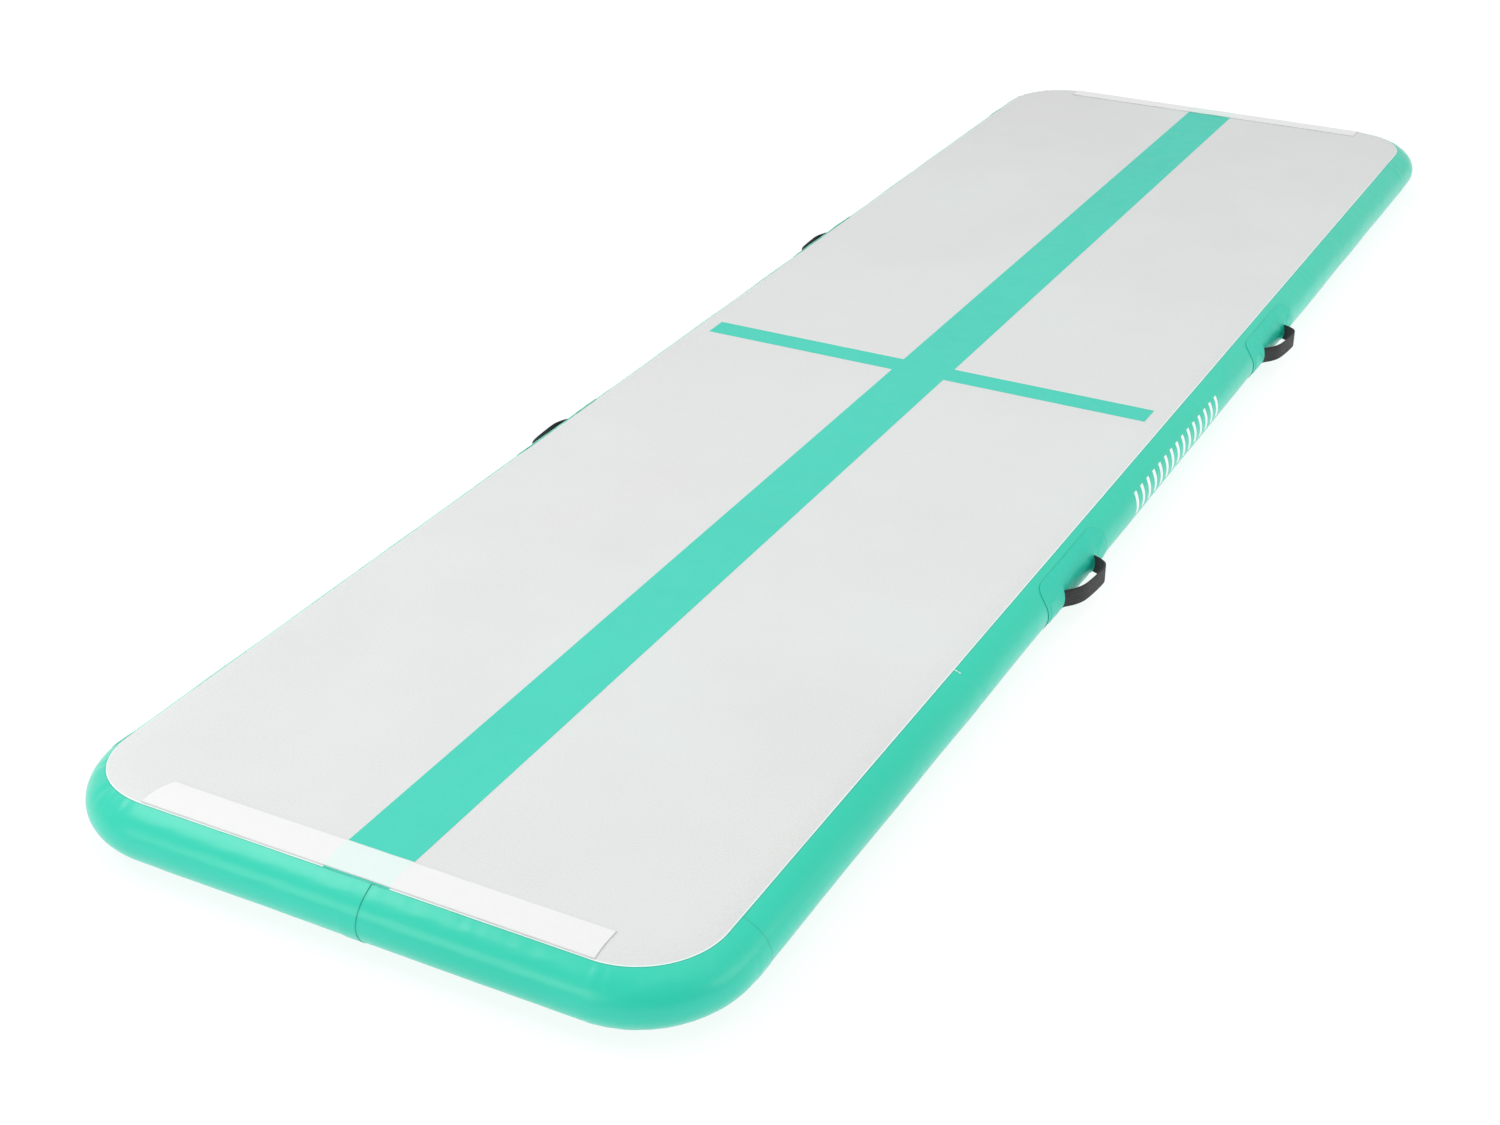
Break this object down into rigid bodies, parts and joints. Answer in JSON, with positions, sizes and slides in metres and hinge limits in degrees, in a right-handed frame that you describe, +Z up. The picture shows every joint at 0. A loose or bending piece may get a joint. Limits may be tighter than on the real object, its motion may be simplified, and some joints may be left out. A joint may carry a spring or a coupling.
{
  "type": "air track mat",
  "caption": "Inflatable gymnastics air track mat with drop-stitch core, bulged side walls, webbing handles, end joining strips and a one-way air valve",
  "frame": {"origin": "centre of the mat's footprint, on the floor plane", "axes": "+Y along the mat towards the valve end, +X across it, +Z up out of the landing surface"},
  "size_m": [1.066, 3.5089, 0.1016],
  "materials": {
    "grey_pvc": "satin",
    "teal_pvc": "satin",
    "teal_film": "satin",
    "hook_and_loop": "matte",
    "black_webbing": "matte",
    "core_cloth": "matte",
    "inner_tape": "satin",
    "valve_boot": "satin",
    "valve_plastic": "satin",
    "valve_stem": "satin",
    "valve_tether": "matte",
    "valve_rubber": "matte",
    "spring_steel": "polished"
  },
  "bodies": {
    "root": {"bottom_sheet": "grey_pvc", "centre_stripe": "teal_film", "core_bottom_ply": "core_cloth", "core_drop_threads": "core_cloth", "core_top_ply": "core_cloth", "cross_bar_left": "teal_film", "cross_bar_right": "teal_film", "handle_left_far_patch": "teal_pvc", "handle_left_far_tails": "black_webbing", "handle_left_near_patch": "teal_pvc", "handle_left_near_tails": "black_webbing", "handle_right_far_patch": "teal_pvc", "handle_right_far_tails": "black_webbing", "handle_right_near_patch": "teal_pvc", "handle_right_near_tails": "black_webbing", "hook_strip_far": "hook_and_loop", "inner_tape_bottom": "inner_tape", "inner_tape_top": "inner_tape", "inner_wall": "core_cloth", "loop_strip_near": "hook_and_loop", "top_sheet": "grey_pvc", "valve_body": "valve_plastic", "valve_boot": "valve_boot", "valve_clamp_nut": "valve_plastic", "valve_gasket": "valve_rubber", "valve_spring": "spring_steel", "valve_tether": "valve_tether", "wall_far_left": "teal_pvc", "wall_far_right": "teal_pvc", "wall_left": "teal_pvc", "wall_near_left": "teal_pvc", "wall_near_right": "teal_pvc", "wall_right": "teal_pvc"},
    "handle_right_near": {"handle_right_near_loop": "black_webbing"},
    "handle_right_far": {"handle_right_far_loop": "black_webbing"},
    "handle_left_near": {"handle_left_near_loop": "black_webbing"},
    "handle_left_far": {"handle_left_far_loop": "black_webbing"},
    "valve_slider": {"valve_spring_seat": "valve_stem"},
    "valve_plunger": {"valve_stem": "valve_stem", "valve_disc": "valve_stem", "valve_disc_seal": "valve_rubber"},
    "cap_ring": {"valve_swivel_ring": "valve_tether"},
    "cap": {"valve_cap": "valve_plastic", "valve_cap_seal": "valve_rubber"}
  },
  "joints": [
    {"name": "handle_right_near_swing", "type": "hinge", "parent": "root", "child": "handle_right_near", "pos_m": [0.505, -0.52, 0.05], "axis": [0, -1, 0], "range_deg": [-60, 60], "stiffness_Nm_per_rad": 0.05},
    {"name": "handle_right_far_swing", "type": "hinge", "parent": "root", "child": "handle_right_far", "pos_m": [0.505, 0.52, 0.05], "axis": [0, -1, 0], "range_deg": [-60, 60], "stiffness_Nm_per_rad": 0.05},
    {"name": "handle_left_near_swing", "type": "hinge", "parent": "root", "child": "handle_left_near", "pos_m": [-0.505, -0.47, 0.05], "axis": [0, 1, 0], "range_deg": [-60, 60], "stiffness_Nm_per_rad": 0.05},
    {"name": "handle_left_far_swing", "type": "hinge", "parent": "root", "child": "handle_left_far", "pos_m": [-0.505, 0.57, 0.05], "axis": [0, 1, 0], "range_deg": [-60, 60], "stiffness_Nm_per_rad": 0.05},
    {"name": "valve_push", "type": "slide", "parent": "root", "child": "valve_slider", "axis": [0, -1, 0], "range_m": [0, 0.006], "stiffness_N_per_m": 300, "springref_m": -0.008, "deforming": ["valve_spring"]},
    {"name": "valve_turn", "type": "hinge", "parent": "valve_slider", "child": "valve_plunger", "pos_m": [-0.28, 1.749, 0.05], "axis": [0, -1, 0], "range_deg": [0, 90]},
    {"name": "cap_pull", "type": "slide", "parent": "root", "child": "cap_ring", "axis": [0, 1, 0], "range_m": [0, 0.028]},
    {"name": "cap_turn", "type": "hinge", "parent": "cap_ring", "child": "cap", "pos_m": [-0.28, 1.749, 0.05], "axis": [0, 1, 0], "range_deg": [0, 90]}
  ]
}
